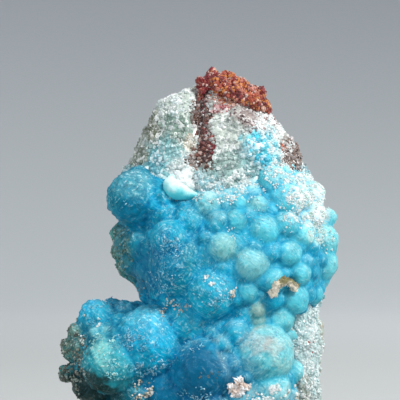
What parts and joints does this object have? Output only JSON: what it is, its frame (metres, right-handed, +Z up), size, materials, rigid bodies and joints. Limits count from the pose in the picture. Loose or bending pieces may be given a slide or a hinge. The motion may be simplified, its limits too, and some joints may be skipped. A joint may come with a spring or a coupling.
{
  "type": "hemimorphite specimen",
  "caption": "Hand specimen of blue botryoidal hemimorphite with a side lobe, grown over a broken wedge of pale rock with a rust-red iron oxide crest; flat cut base.",
  "frame": {"origin": "the middle of the flat cut under the rock, which the specimen stands on", "axes": "+Z up along the specimen's height; the blue crust faces -Y; +X is right in the front view"},
  "size_m": [0.0582, 0.0377, 0.0749],
  "materials": {
    "pale_rock": "sugary, rough",
    "blue_hemimorphite": "silky to glassy botryoidal",
    "iron_oxide": "earthy, granular",
    "mint_hemimorphite": "waxy, smooth",
    "calcite": "rough, crystalline"
  },
  "bodies": {
    "root": {"host_rock": "pale_rock", "hemimorphite_crust": "blue_hemimorphite", "iron_oxide_crest": "iron_oxide", "pale_knob": "mint_hemimorphite", "cream_calcite_arch": "calcite", "white_calcite_spur": "calcite"}
  },
  "joints": []
}
